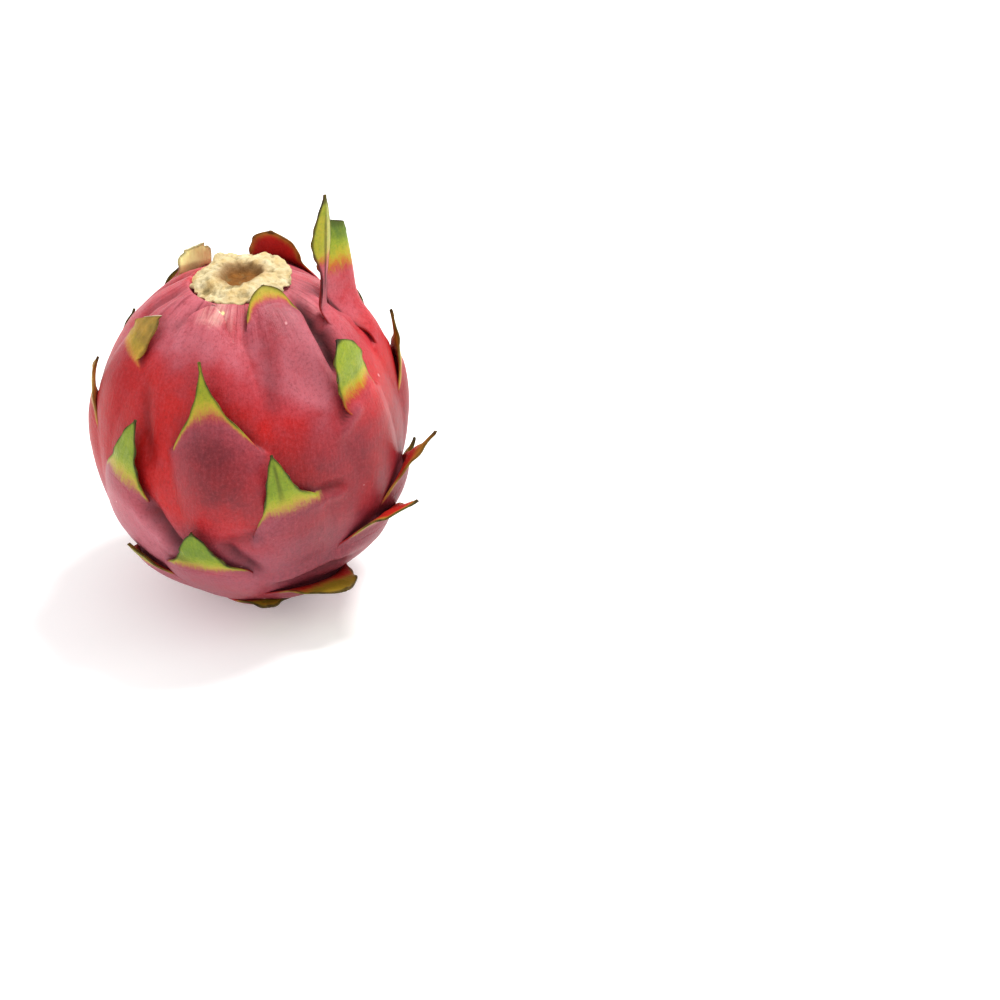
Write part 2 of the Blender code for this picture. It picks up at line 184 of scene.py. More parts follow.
NAMED_SCALES = (
    # Upper ring, round the flower scar: a hood, a spear, a folded leaf, and shorter ones behind
    Scale(23.0, 100.5, 7.5, 7.6, lift=20.0, neck=0.8, full=3.0, rise=3.0, shield=26.0, green_from=0.2,
          green_to=1.5, rim=1.0, dry=0.3, foot=0.8, warm=0.5, swell=0.8, pink=0.7),
    Scale(62.0, 95.0, 38.6, 6.2, lift=54.0, turn=0.15, hug=0.1, neck=0.9, full=4.0, waist=0.2,
          waist_from=0.3, waist_to=0.68, fold=0.45, skew=0.7, rise=2.4, shield=20.0, green_from=0.38,
          green_to=0.56, rim=0.0, pink=0.2, foot=0.3, vein=1.0, greenest=0.64, warm=1.0, axil=0.4),
    Scale(98.0, 86.5, 31.0, 9.4, lift=33.0, hug=0.3, neck=0.74, hollow=2.4, full=9.0, cut=0.46,
          tip_slant=1.3, fold=1.2, skew=0.65, rise=3.4, shield=40.0, green_from=0.44, green_to=0.86,
          rim=0.0, foot=0.8, warm=1.0, axil=0.15),
    Scale(154.0, 97.0, 11.0, 8.8, lift=40.0, hug=0.6, neck=0.85, full=5.0, rise=2.4, shield=30.0,
          green_from=0.8, green_to=1.6, rim=0.9, dry=0.7, inside=1.0),
    Scale(-149.0, 96.4, 6.0, 6.0, lift=56.0, hug=0.6, neck=0.85, full=6.0, cut=0.5, tip_slant=0.6,
          rise=2.0, shield=28.0, green_from=0.02, green_to=0.3, rim=0.2, dry=0.4, cream=1.0, inside=0.0,
          foot=0.7),
    Scale(-28.0, 99.0, 6.0, 7.0, lift=3.0, neck=0.6, full=3.0, rise=1.4, shield=22.0, green_from=2.0,
          green_to=4.0, rim=0.0),
    # Shoulder ring
    Scale(-68.5, 90.0, 9.5, 6.6, lean=12.0, lift=9.0, neck=0.85, full=8.0, cut=0.5, tip_slant=-0.9,
          rise=2.8, shield=44.0, green_from=-0.45, green_to=0.3, rim=0.9, dry=0.6, foot=0.62, warm=0.8),
    Scale(49.0, 78.0, 20.0, 7.6, lean=-14.0, lift=36.0, hug=1.5, neck=0.92, hollow=6.0, full=5.0,
          sweep=-2.0, rise=3.6, shield=46.0, green_from=-0.04, green_to=0.32, rim=0.4, foot=0.66,
          warm=0.9, greenest=0.78),
    Scale(97.0, 70.0, 17.0, 8.0, lift=20.0, neck=0.2, rise=4.2, shield=34.0, dry=0.4),
    Scale(-14.6, 75.0, 21.0, 10.5, lean=-12.0, lift=7.0, neck=0.13, hollow=2.3, slant=-0.16, rise=4.0,
          shield=44.0, green_from=0.1, green_to=0.6, rim=1.0, dry=0.1, swell=2.6, greenest=0.72,
          foot=0.8, warm=0.4, pink=0.8),
    Scale(-88.0, 66.0, 15.0, 8.0, lift=24.0, hug=2.5, neck=0.4, rise=2.2, shield=40.0, dry=0.8),
    # Middle ring
    Scale(-51.0, 56.5, 21.0, 8.6, lean=15.0, lift=8.0, neck=0.52, hollow=3.5, full=2.8, slant=-0.04,
          rise=3.6, shield=40.0, pink=0.95, green_from=-0.14, green_to=0.4, foot=0.76, greenest=0.85),
    Scale(10.0, 52.3, 19.5, 9.0, lean=-9.0, lift=12.0, neck=0.44, hollow=3.5, full=3.0, slant=0.45,
          rise=3.4, shield=36.0, pink=1.0, vein=0.7, greenest=0.88, green_from=-0.14, green_to=0.42,
          foot=0.8),
    Scale(71.0, 44.0, 20.0, 8.5, lean=-8.0, lift=34.0, hug=0.5, neck=0.25, rise=3.2, shield=32.0,
          green_from=0.2, green_to=0.8, dry=0.5, pink=0.6),
    # Low ring, whose tips stand out over the floor
    Scale(-21.5, 31.5, 17.0, 11.0, lift=11.0, neck=0.52, hollow=4.0, full=3.2, rise=3.2, shield=24.0,
          pink=1.0, green_from=-0.14, green_to=0.4, foot=0.85),
    Scale(55.0, 34.0, 15.0, 10.5, lean=10.0, lift=52.0, hug=1.6, neck=0.55, full=3.0, rise=3.2,
          shield=24.0, inside=1.0, green_from=0.3, green_to=0.9, pink=0.6),
    Scale(32.0, 15.5, 13.0, 12.0, lean=6.0, lift=46.0, hug=1.2, neck=0.7, full=4.0, rise=2.6,
          shield=14.0, dry=0.1, inside=0.45, warm=0.1),
    Scale(-56.0, 23.0, 10.0, 9.5, lift=9.0, hug=1.0, neck=0.5, rise=2.4, shield=18.0, dry=0.3, pink=0.6),
    Scale(4.0, 8.5, 10.0, 8.0, lift=26.0, hug=1.6, neck=0.4, rise=1.6, shield=8.0, warm=0.1),
    Scale(-113.0, 38.0, 16.0, 9.5, lift=8.0, neck=0.3, rise=2.8, shield=26.0, pink=0.4),
)


def back_scales():
    """Scales on the far side, drawn in the same order as in the solids."""
    draw = random.Random(BACK_SEED)
    made = []
    for height, start in BACK_RINGS:
        around = start
        while around < BACK_END:
            made.append(
                Scale(
                    around + draw.uniform(-5.0, 5.0),
                    height + draw.uniform(-3.0, 3.0),
                    length=draw.uniform(15.0, 20.0),
                    half_width=draw.uniform(9.0, 11.5),
                    lean=draw.uniform(-12.0, 12.0),
                    lift=draw.uniform(6.0, 20.0),
                    neck=draw.uniform(0.15, 0.4),
                    rise=draw.uniform(2.6, 3.6),
                    shield=min(42.0, height),
                )
            )
            around += BACK_STEP
    return made


SCALES = list(NAMED_SCALES) + back_scales()


@dataclass
class Crease:
    """A fold of the skin along a line of (around, height) points. A negative depth is a raised ridge."""

    line: tuple
    depth: float
    width: float


CREASES = (
    # A hollow under the broad leaf
    Crease(((112.0, 92.0), (104.0, 83.0), (96.0, 76.0)), 1.4, 5.0),
    # Folds that run down from the flower scar
    Crease(((60.0, 103.0), (50.0, 96.5), (47.5, 88.0), (46.0, 81.0)), 3.0, 2.4),
    Crease(((42.0, 103.0), (35.0, 96.0), (36.0, 88.0), (39.0, 78.0)), -1.4, 3.6),
    Crease(((12.0, 98.0), (10.0, 88.0), (9.0, 76.0)), 0.7, 2.4),
    Crease(((-30.0, 103.0), (-46.0, 99.5), (-56.0, 94.0)), 0.9, 1.8),
    Crease(((-60.0, 103.0), (-68.0, 99.5), (-72.0, 95.0)), -0.8, 2.2),
    Crease(((-84.0, 103.0), (-88.0, 97.0), (-88.0, 90.0)), 1.2, 2.2),
    Crease(((86.0, 101.0), (80.0, 94.0), (76.0, 86.0)), 0.5, 2.4),
    Crease(((125.0, 102.0), (124.0, 96.0), (118.0, 86.0)), 1.6, 3.0),
    Crease(((180.0, 103.0), (178.0, 96.0), (172.0, 86.0)), 1.4, 3.0),
    Crease(((212.0, 103.0), (214.0, 96.0), (219.0, 86.0)), 1.4, 3.0),
    Crease(((240.0, 103.0), (244.0, 96.0), (246.0, 88.0)), 1.2, 2.6),
    # Edges of shields that run on past the feet of their tips, and folds of the lower skin
    Crease(((-50.0, 85.0), (-46.5, 77.0), (-41.0, 67.0), (-39.5, 60.0)), 1.0, 2.2),
    Crease(((46.5, 76.5), (40.0, 72.5), (34.0, 67.0)), -1.2, 1.8),
    Crease(((-42.5, 53.5), (-38.0, 44.5), (-32.0, 36.5), (-21.0, 33.0)), 2.2, 2.4),
    Crease(((-46.5, 50.5), (-42.5, 42.5), (-36.5, 33.5), (-26.0, 29.5)), -0.9, 2.2),
    Crease(((3.0, 45.5), (-6.0, 42.0), (-14.0, 41.0)), 1.0, 2.4),
    Crease(((21.0, 54.5), (28.5, 55.0), (37.0, 54.0)), 1.2, 1.8),
    Crease(((21.0, 52.0), (28.5, 52.4), (37.0, 51.0)), -1.2, 1.8),
    Crease(((-14.0, 42.0), (-7.0, 33.5), (3.0, 26.5)), 1.8, 2.6),
    Crease(((3.0, 22.5), (26.0, 27.5), (44.0, 29.5)), -1.6, 2.2),
    Crease(((4.0, 18.5), (27.0, 23.0), (45.0, 25.0)), 1.6, 2.4),
)


@dataclass
class Field:
    """A soft oval of the skin that is paler, or deeper where that is negative. Some are painted light: a
    painted sheen, or painted lightening of a side in shade.
    """

    around: float
    height: float
    around_reach: float
    height_reach: float
    paler: float


FIELDS = (
    Field(-42.0, 70.0, 24.0, 20.0, -0.5),    # clear red beside the middle scale
    Field(33.0, 87.0, 12.0, 10.0, 1.5),      # painted sheen under the hood
    Field(-56.0, 38.0, 22.0, 16.0, 1.3),     # painted light low on the left, lifting the side away from the key lamp
)


@dataclass
class Shield:
    """Where points of the egg lie in a scale's frame, and how far its shield raises them."""

    across: np.ndarray
    along: np.ndarray
    below: np.ndarray    # distance down from the lip
    side: np.ndarray     # 1 on the midline, 0 at the shield's edges and on the far side of the fruit
    near: np.ndarray     # whether the point is on the scale's own side of the fruit
    body: np.ndarray     # how far the shield stands out there
    front: np.ndarray    # 1 up to the lip, 0 above it


def smooth(share):
    """A soft step from 0 to 1."""
    share = np.clip(share, 0.0, 1.0)
    return share * share * (3.0 - 2.0 * share)


def body_radius(height):
    return HALF_WIDTH * math.sqrt(max(0.0, 1.0 - ((height - CENTRE_HEIGHT) / HALF_HEIGHT) ** 2))


SEMI_AXES = np.array((HALF_WIDTH, HALF_WIDTH, HALF_HEIGHT))
CENTRE = np.array((0.0, 0.0, CENTRE_HEIGHT))


def body_normal(points):
    slope = (points - CENTRE) / SEMI_AXES**2
    return slope / np.linalg.norm(slope, axis=-1, keepdims=True)


def on_egg(points):
    """The points moved onto the plain egg along the line to its centre."""
    unit = (points - CENTRE) / SEMI_AXES
    unit = unit / np.linalg.norm(unit, axis=-1, keepdims=True)
    return unit * SEMI_AXES + CENTRE


def egg_point(around, height):
    turn = math.radians(around)
    radius = body_radius(height)
    return np.array((radius * math.sin(turn), -radius * math.cos(turn), height))


def scale_frame(scale):
    """The middle of the scale's lip on the egg, and the scale's right, up and outward directions there."""
    base = egg_point(scale.around, scale.height)
    out = body_normal(base)
    up = np.array((0.0, 0.0, 1.0)) - out[2] * out
    up /= np.linalg.norm(up)
    right = np.cross(up, out)
    lean = math.radians(scale.lean)
    leaned_up = math.cos(lean) * up + math.sin(lean) * right
    leaned_right = math.cos(lean) * right - math.sin(lean) * up
    return base, leaned_right, leaned_up, out


def value_noise(points, size, seed=0):
    """Smooth noise from -1 to 1 with lumps about size across."""
    cell = points / size + 97.3
    whole = np.floor(cell).astype(np.int64)
    part = smooth(cell - whole)
    total = np.zeros(len(points))
    for corner in itertools.product((0, 1), repeat=3):
        index = whole + np.array(corner)
        mixed = index[:, 0] * 73856093 ^ index[:, 1] * 19349663 ^ index[:, 2] * 83492791 ^ seed * 40503
        mixed = (mixed ^ (mixed >> 13)) * 1274126177
        value = ((mixed >> 8) & 0xFFFF) / 32767.5 - 1.0
        weight = np.prod(np.where(np.array(corner) == 1, part, 1.0 - part), axis=1)
        total += weight * value
    return total


def layered_noise(points, size, seed=0, layers=3):
    total = np.zeros(len(points))
    strength = 1.0
    for layer in range(layers):
        total += strength * value_noise(points, size / 2**layer, seed + layer)
        strength *= 0.5
    return total


def lip_line(scale, across):
    """How far up the lip lies at a distance from the scale's midline."""
    spread = SHIELD_SPREAD * scale.half_width
    return scale.slant * across - LIP_DROP * spread * (np.abs(across) / spread) ** LIP_CURVE


def shield_fields(scale, egg):
    base, right, up, out = scale_frame(scale)
    reach = egg - base
    across = reach @ right
    along = reach @ up
    near = (body_normal(egg) @ out) > 0.0
    spread = SHIELD_SPREAD * scale.half_width
    below = lip_line(scale, across) - along
    side = np.where(near, np.clip(1.0 - (across / spread) ** 2, 0.0, 1.0), 0.0)
    fade = 1.0 - smooth(below / scale.shield)
    bulge = scale.swell * np.exp(-(((below - SWELL_BELOW) / SWELL_REACH) ** 2)) * side
    body = scale.rise * fade * side + bulge
    front = smooth((below + LIP_REACH) / LIP_DEPTH)
    return Shield(across, along, below, side, near, body, front)


def crease_fields(crease, egg):
    """How strongly a crease's line marks each point, from 0 to 1."""
    arounds = [point[0] for point in crease.line]
    heights = [point[1] for point in crease.line]
    steps = np.linspace(0.0, len(crease.line) - 1.0, 14 * len(crease.line))
    knots = np.arange(len(crease.line))
    nearest = np.full(len(egg), 1e9)
    place = np.zeros(len(egg))
    for step in steps:
        spot = egg_point(np.interp(step, knots, arounds), np.interp(step, knots, heights))
        distance = np.linalg.norm(egg - spot, axis=1)
        closer = distance < nearest
        nearest = np.where(closer, distance, nearest)
        place = np.where(closer, step / steps[-1], place)
    ends = smooth(place / 0.25) * smooth((1.0 - place) / 0.3)
    return np.exp(-((nearest / crease.width) ** 2)) * (0.15 + 0.85 * ends)


def skin_height(egg, held=None):
    """Height of the skin over the egg. The shield of a held scale doesn't drop at its lip."""
    relief = np.zeros(len(egg))
    for scale in SCALES:
        shield = shield_fields(scale, egg)
        front = shield.front
        if scale is held:
            front = np.ones(len(egg))
        else:
            axil = np.exp(-(((shield.below + AXIL_ABOVE) / AXIL_WIDTH) ** 2)) * shield.side
            relief -= AXIL_DEPTH * axil
        relief = np.maximum(relief, shield.body * front)
    for crease in CREASES:
        relief -= crease.depth * crease_fields(crease, egg)
    relief += LUMP_HEIGHT * value_noise(egg, LUMP_SIZE, 3)
    relief += RIPPLE_HEIGHT * layered_noise(egg, RIPPLE_SIZE, 5, 2)
    return relief


def margin_line(scale):
    """Both margins of the tip, laid flat: (across, along) points from foot to point and back."""
    share = np.linspace(0.0, 1.0, 40)
    half = tip_half_width(scale, share)
    sides = []
    for side in (-1.0, 1.0):
        along = share * scale.length + lip_line(scale, side * half) * (1.0 - share) ** LIP_STRAIGHTENS
        sides.append(np.stack((side * half, along), axis=1))
    return np.concatenate((sides[0], sides[1][::-1]))


def margin_distance(scale, across, along):
    """Distance from points laid flat to the tip's nearest margin."""
    line = margin_line(scale)
    nearest = np.full(len(across), 1e9)
    for start, end in zip(line[:-1], line[1:]):
        step = end - start
        length = max(float(step @ step), 1e-9)
        place = np.clip(((across - start[0]) * step[0] + (along - start[1]) * step[1]) / length, 0.0, 1.0)
        gap = np.hypot(across - start[0] - place * step[0], along - start[1] - place * step[1])
        nearest = np.minimum(nearest, gap)
    return nearest


def green_share(scale, share, edge):
    """From 0 in the red skin to 1 where the scale is green. The edge is the distance to its margin."""
    along = np.clip((share - scale.green_from) / (scale.green_to - scale.green_from), 0.0, 1.0)
    thick = 0.55 + 1.6 * np.clip(share, 0.0, 0.6)
    fading = smooth((share + 0.34) / 0.34)
    margin = scale.rim * np.exp(-np.maximum(edge, 0.0) / thick) * fading
    return scale.greenest * np.clip(along + margin * (1.0 - along), 0.0, 1.0)


def skin_marks(egg, held=None):
    """Masks from 0 to 1 that the skin's colours are mixed by. The tip of a held scale adds its own."""
    count = len(egg)
    green = np.zeros(count)
    dry = np.zeros(count)
    cream = np.zeros(count)
    dark_marks_and_shade = np.zeros(count)
    maroon_and_shade = np.zeros(count)
    mauve = np.zeros(count)
    warm = np.zeros(count)
    for scale in SCALES:
        shield = shield_fields(scale, egg)
        across, along, below, side = shield.across, shield.along, shield.below, shield.side
        close = shield.near & (below > -1.0) & (below < 22.0) & (np.abs(across) < 1.6 * scale.half_width)
        value = np.zeros(count)
        if close.any() and scale is not held:
            edge = margin_distance(scale, across[close], along[close])
            inside = smooth((below[close] + 0.5) / 0.8)
            value[close] = green_share(scale, along[close] / scale.length, edge) * inside
            value *= smooth(side * 8.0)
        dry = np.where(value > green, scale.dry, dry)
        cream = np.where(value > green, scale.cream, cream)
        warm = np.where(value > green, scale.warm, warm)
        green = np.maximum(green, value)
        if scale is not held:
            # Painted shade on the skin just above each lip, under the tip that overhangs it
            above = np.where(below < 0.0, -below, 1e3)
            shade = 0.65 * np.exp(-above / 1.6) + 0.35 * np.exp(-above / 7.0)
            dark_marks_and_shade = np.maximum(dark_marks_and_shade, scale.axil * shade * smooth(side * 1.6) * min(1.0, scale.rise / 3.0))
        under_lip = np.ones(count) if scale is held else smooth(below + 1.0)
        belly = smooth((below + 9.0) / 13.0) * smooth((31.0 - below) / 16.0) * (side > 0.0) * under_lip
        belly *= np.exp(-((across / (1.15 * scale.half_width)) ** 2))
        maroon_and_shade = np.maximum(maroon_and_shade, belly * min(1.0, 0.16 + 0.35 * scale.swell))
        near_lip = smooth((below + 9.0) / 4.0) * under_lip * np.exp(-np.maximum(below, 0.0) / 13.0)
        below_lip = near_lip * smooth(side * 2.4)
        mauve = np.maximum(mauve, scale.pink * below_lip)
    # Painted shade along the hollow creases; the raised ridges turn mauve
    for crease in CREASES:
        field = crease_fields(crease, egg)
        if crease.depth > 0.0:
            dark_marks_and_shade = np.maximum(dark_marks_and_shade, 0.4 * crease.depth * field)
        else:
            mauve = np.maximum(mauve, -0.5 * crease.depth * field)
    lumps = layered_noise(egg, 15.0, 21, 2)
    height = egg[:, 2]
    around = np.degrees(np.arctan2(egg[:, 0], -egg[:, 1]))
    mauve = np.maximum(mauve, smooth((MAUVE_BELOW - height) / 26.0) + 0.25 * lumps)
    pale_and_sheen = 0.62 * smooth((height - PALE_FROM) / 22.0) + 0.1 + 0.3 * lumps
    # Paler ovals, among them a painted sheen and painted light on the shaded left
    for field in FIELDS:
        round_it = ((around - field.around) / field.around_reach) ** 2
        pale_and_sheen += field.paler * np.exp(-round_it - ((height - field.height) / field.height_reach) ** 2)
    # Painted shade over the right side of the fruit below the shoulder, mixed in as maroon
    right_side_shade = smooth((around + 12.0) / 36.0) * smooth((180.0 - np.abs(around)) / 40.0)
    right_side_shade *= smooth((82.0 - height) / 20.0)
    maroon_and_shade = np.maximum(maroon_and_shade, 0.75 * right_side_shade)
    torn = 0.8 * np.exp(-(((around - TORN_AROUND) / TORN_REACH) ** 2)) * smooth((height - TORN_FROM) / 2.5)
    torn = np.clip(torn * (1.0 + 0.7 * value_noise(egg, 2.4, 61)) - 0.12, 0.0, 1.0)
    cream = np.maximum(cream * (green > 0.0), torn)
    return {
        "green": green,
        "dry": dry,
        "cream": cream,
        "dark_marks_and_shade": np.clip(dark_marks_and_shade, 0.0, 1.0),
        "maroon_and_shade": np.clip(maroon_and_shade, 0.0, 1.0),
        "mauve": np.clip(mauve, 0.0, 1.0),
        "warm": warm,
        "pale_and_sheen": np.clip(pale_and_sheen, 0.0, 1.0),
        "fringe": smooth((height - FRINGE_FROM) / 9.0),
        "inner": np.zeros(count),
        "tip": np.zeros(count),
    }


def skin_flow(egg):
    """Coordinates that streaks follow: round the fruit at one radius, and along the meridian."""
    around = np.arctan2(egg[:, 0], -egg[:, 1])
    polar = np.arccos(np.clip((egg[:, 2] - CENTRE_HEIGHT) / HALF_HEIGHT, -1.0, 1.0))
    return np.stack((HALF_WIDTH * np.sin(around), HALF_WIDTH * np.cos(around), 50.0 * polar), axis=1)


def add_marks(mesh, marks, flow):
    """Float masks, and the vector that streaks follow, on a mesh's points."""
    for name, values in marks.items():
        layer = mesh.attributes.new(name, "FLOAT", "POINT")
        layer.data.foreach_set("value", np.asarray(values, dtype=np.float32))
    layer = mesh.attributes.new("flow", "FLOAT_VECTOR", "POINT")
    layer.data.foreach_set("vector", np.asarray(flow, dtype=np.float32).ravel())


def new_object(name, mesh):
    made = bpy.data.objects.new(name, mesh)
    bpy.context.scene.collection.objects.link(made)
    mesh.shade_smooth()
    return made


def finish_piece(piece, material, node):
    piece.data.materials.append(material)
    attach(piece, "root")
    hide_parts(node)


def scar_axis():
    tilt = math.radians(SCAR_TILT)
    return np.array((-math.sin(tilt), 0.0, math.cos(tilt)))


def make_skin(material):
    """The fruit's skin: a fine egg raised by formula, sunk to a seat under the flower scar."""
    bm = bmesh.new()
    bmesh.ops.create_uvsphere(bm, u_segments=SKIN_SEGMENTS, v_segments=SKIN_RINGS, radius=1.0)
    egg = np.array([vertex.co[:] for vertex in bm.verts]) * SEMI_AXES + CENTRE
    points = egg + skin_height(egg)[:, None] * body_normal(egg)
    axis = scar_axis()
    from_seat = points - np.array((0.0, 0.0, SEAT_HEIGHT))
    rise = from_seat @ axis
    radius = np.linalg.norm(from_seat - np.outer(rise, axis), axis=1)
    seat = smooth((SEAT_RADIUS - radius) / SEAT_EDGE) * (egg[:, 2] > CENTRE_HEIGHT)
    points -= np.outer(seat * np.maximum(rise, 0.0), axis)
    marks = skin_marks(egg)
    level = smooth((egg[:, 2] + 0.2) / 2.5)
    points[:, 2] = np.maximum(points[:, 2], 0.0)
    points[:, 2] = np.where(level < 0.02, 0.0, points[:, 2])
    for vertex, point in zip(bm.verts, points):
        vertex.co = point * MM
    mesh = bpy.data.meshes.new("fruit_skin")
    bm.to_mesh(mesh)
    bm.free()
    add_marks(mesh, marks, skin_flow(egg))
    skin = new_object("fruit_skin", mesh)
    finish_piece(skin, material, "fruit")


def midrib(scale, distances):
    """How far along and out the tip's midline has come at distances from the lip, and its slope there."""
    fine = np.linspace(0.0, scale.length, 160)
    lift = scale.lift * smooth(fine / (scale.turn * scale.length))
    slope = np.radians(lift - scale.hug * fine)
    step = fine[1] - fine[0]
    along = np.concatenate(([0.0], np.cumsum(np.cos(slope[:-1] + np.diff(slope) / 2)) * step))
    out = np.concatenate(([0.0], np.cumsum(np.sin(slope[:-1] + np.diff(slope) / 2)) * step))
    buried = np.minimum(distances, 0.0)
    bend = math.radians(BODY_BEND)
    dip = bend * buried**2 / 2.0
    free = np.maximum(distances, 0.0)
    return (
        np.interp(free, fine, along) + buried,
        np.interp(free, fine, out) - dip,
        np.interp(free, fine, slope) - bend * buried,
    )


def tip_half_width(scale, share):
    """Half width of the tip at shares of its length, with its feet flared out along the lip."""
    free = np.clip(share, 0.0, 1.0)
    flare = (1.0 - scale.neck) * (1.0 - free) ** scale.hollow
    tongue = scale.neck * (1.0 - free**scale.full)
    widening = smooth((free - scale.waist_from) / (scale.waist_to - scale.waist_from))
    waist = scale.waist + (1.0 - scale.waist) * widening
    least = max(TIP_HALF_WIDTH, scale.cut * scale.half_width)
    half = np.maximum(scale.half_width * waist * (flare + tongue), least)
    foot = scale.foot * SHIELD_SPREAD * scale.half_width - half
    return half + foot * np.clip(1.0 - free / FOOT_SHARE, 0.0, 1.0) ** FOOT_HOLLOW


def blade_face(scale, side, share, seed):
    """Points of the tip's outer face, its outward directions there and the same points laid flat."""
    base, right, up, out = scale_frame(scale)
    free = np.clip(share, 0.0, 1.0)
    distance = np.where(share < 0.0, share * ROOT_LENGTH, share * scale.length)
    along, lifted, slope = midrib(scale, distance)
    half = tip_half_width(scale, share)
    ragged = 1.0 + 0.04 * np.sin(distance * 1.3 + seed) * np.abs(side) ** 4 * smooth(free / 0.3)
    width = side * half * ragged
    round_the_egg = body_radius(scale.height) / math.hypot(out[0], out[1])
    spread = SHIELD_SPREAD * scale.half_width
    droop = width**2 / (2.0 * round_the_egg) * (1.0 - 0.5 * free)
    droop += scale.rise * (width / spread) ** 2 * (1.0 - free)
    folding = np.where(width > 0.0, 1.0 - scale.skew, 1.0) * smooth(free / FOLD_SHARE)
    droop += scale.fold * folding * np.abs(width)
    if scale.waist > 0.5:
        wave = np.sin(distance * 0.85 + 2.0 * seed) * np.abs(side) ** 3
        droop += WAVE_HEIGHT * wave * smooth(free / 0.35) * (1.0 - 0.4 * free)
    droop += MIDLINE_HEIGHT * np.exp(-((width / MIDLINE_WIDTH) ** 2)) * smooth(free / 0.2) * (1.0 - free)
    lip = lip_line(scale, width) * (1.0 - free) ** LIP_STRAIGHTENS
    flat = np.stack((width, np.zeros(len(side)), distance + lip), axis=1)
    torn_edge = 0.6 * np.sin(2.6 * width + 0.7) + 0.4 * np.sin(5.9 * width)
    lip = lip - (scale.tip_slant * width - scale.cream * torn_edge) * free**2
    across = width + scale.sweep * free**2
    face = np.outer(-np.sin(slope), up) + np.outer(np.cos(slope), out)
    points = base + np.outer(across, right) + np.outer(along + lip, up) + np.outer(lifted + scale.rise, out)
    points -= droop[:, None] * face
    # The root and the first stretch lie on the skin itself, so that the two surfaces run into each other
    egg = on_egg(points)
    sink = ROOT_SINK * np.minimum(share, 0.0) ** 2
    on_skin = egg + (skin_height(egg, scale) + ROOT_COVER - sink)[:, None] * body_normal(egg)
    grip = (1.0 - smooth(free / ROOT_GRIP))[:, None]
    return points * (1.0 - grip) + on_skin * grip, face, flat, egg


def make_blade(number, scale, material):
    """The free tip of one scale, a closed sheet with thin margins."""
    root = np.linspace(-1.0, 0.0, ROOT_ROWS + 1)[:-1]
    shares = np.concatenate((root, np.linspace(0.0, 1.0, BLADE_ROWS) ** 1.25))
    sides = np.sin(np.linspace(-math.pi / 2.0, math.pi / 2.0, BLADE_COLUMNS))
    grid_side, grid_share = np.meshgrid(sides, shares)
    side, share = grid_side.ravel(), grid_share.ravel()
    outer, face, flat, egg = blade_face(scale, side, share, number)
    free = np.clip(share, 0.0, 1.0)
    thick = BLADE_THICK + (BLADE_THIN - BLADE_THICK) * free
    thick = thick * (1.0 - 0.6 * np.abs(side) ** 3) + 1.5 * np.clip(-share, 0.0, 1.0)
    inner = outer - thick[:, None] * face
    rows, columns = len(shares), len(sides)

    def ring(outer_values, inner_values):
        """Values of both faces in the order of the mesh: the outer face, then the inner one backwards."""
        shape = (rows, columns) + outer_values.shape[1:]
        first = outer_values.reshape(shape)
        second = inner_values.reshape(shape)[:, ::-1]
        return np.concatenate((first, second), axis=1).reshape((-1,) + outer_values.shape[1:])

    around = 2 * columns
    faces = []
    for row in range(rows - 1):
        for column in range(around):
            following = (column + 1) % around
            faces.append((
                row * around + column, row * around + following,
                (row + 1) * around + following, (row + 1) * around + column,
            ))
    faces.append(tuple(reversed(range(around))))
    faces.append(tuple(range((rows - 1) * around, rows * around)))
    mesh = bpy.data.meshes.new(f"scale_{number:02d}")
    mesh.from_pydata(ring(outer, inner) * MM, [], faces)
    mesh.validate()

    zero = np.zeros(len(side))
    full = np.ones(len(side))
    edge = margin_distance(scale, flat[:, 0], flat[:, 2])
    green = green_share(scale, flat[:, 2] / scale.length, edge)
    skin = skin_marks(egg, scale)
    leaving = 1.0 - smooth((free - 0.1) / 0.4)
    darkest = 1.0 - 0.6 * scale.dry if scale.green_from < 1.0 else 0.0
    outline = darkest * np.exp(-((edge / 0.45) ** 2)) * smooth(share / 0.25)
    point = smooth((share - 0.9) / 0.06) * (0.9 if scale.cut == 0.0 else 0.5)
    vein = scale.vein * np.exp(-((flat[:, 0] / 0.5) ** 2))
    vein *= smooth((share - 0.1) / 0.2) * smooth((1.0 - share) / 0.3)
    # Dark margins, points and veins, with the skin's painted shade running onto the base of the tip
    dark_marks_and_shade = np.maximum(np.maximum(outline, point), np.maximum(vein, skin["dark_marks_and_shade"] * leaving))
    green_inside = np.clip(green * (1.0 - 0.3 * scale.inside) - 0.4 * scale.inside, 0.0, 1.0)
    rim_inside = 0.95 * scale.rim * np.exp(-np.maximum(edge, 0.0) / 1.3) * smooth(share / 0.4)
    green_inside = np.maximum(green_inside, rim_inside)
    streaked = leaving if scale.height < 99.0 else full
    bleached = 0.8 if scale.cut > 0.0 and scale.dry > 0.0 else 0.0
    white_cut = bleached * smooth((share - 0.97) / 0.02)
    marks = {
        "green": ring(green, green_inside),
        "dry": ring(scale.dry * full, scale.dry * full),
        "cream": ring(np.maximum(scale.cream * green, skin["cream"] * streaked), scale.cream * full),
        # The inner face takes painted shade towards its root
        "dark_marks_and_shade": ring(dark_marks_and_shade, np.maximum(dark_marks_and_shade, 0.25 * (1.0 - free))),
        "maroon_and_shade": ring(skin["maroon_and_shade"] * leaving, zero),
        "mauve": ring(skin["mauve"] * leaving, zero),
        "warm": ring(scale.warm * full, scale.warm * full),
        "pale_and_sheen": ring(skin["pale_and_sheen"], skin["pale_and_sheen"]),
        "fringe": ring(skin["fringe"] * streaked, zero),
        "inner": ring(zero, full),
        "tip": ring(white_cut, zero),
    }
    add_marks(mesh, marks, ring(flat, flat))
    blade = new_object(f"scale_{number:02d}", mesh)
    finish_piece(blade, material, "fruit")


